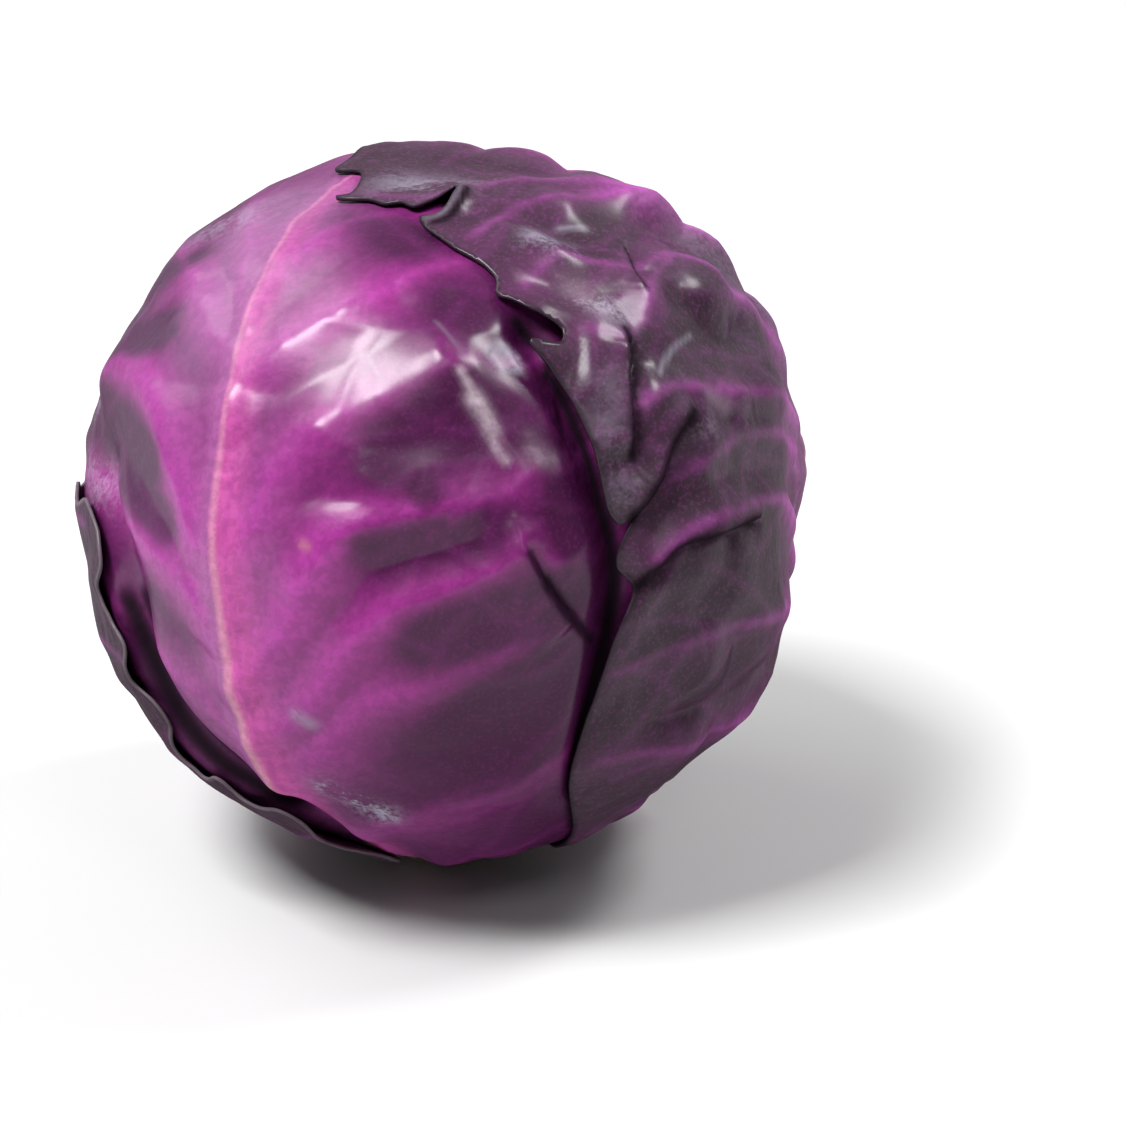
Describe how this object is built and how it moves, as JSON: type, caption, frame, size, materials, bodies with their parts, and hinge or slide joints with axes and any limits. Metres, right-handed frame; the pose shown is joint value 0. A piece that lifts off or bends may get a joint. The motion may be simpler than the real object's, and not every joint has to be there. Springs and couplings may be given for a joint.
{
  "type": "baby red cabbage",
  "caption": "Small round red cabbage head, cut at the stem, wrapped in ribbed purple leaves, one with a torn edge.",
  "frame": {"origin": "centre of the stem's flat cut face, on which the head stands", "axes": "+Z from the cut stem up to the crown; -Y is the side with the magenta front leaf"},
  "size_m": [0.1217, 0.1213, 0.12],
  "materials": {
    "stem": "matte",
    "inner_leaves": "satin",
    "leaf_magenta": "satin",
    "leaf_dark": "satin"
  },
  "bodies": {
    "root": {"stem_stump": "stem", "inner_head": "inner_leaves", "leaf_back": "leaf_dark", "leaf_front": "leaf_magenta", "leaf_right": "leaf_dark", "leaf_outer": "leaf_dark"}
  },
  "joints": []
}
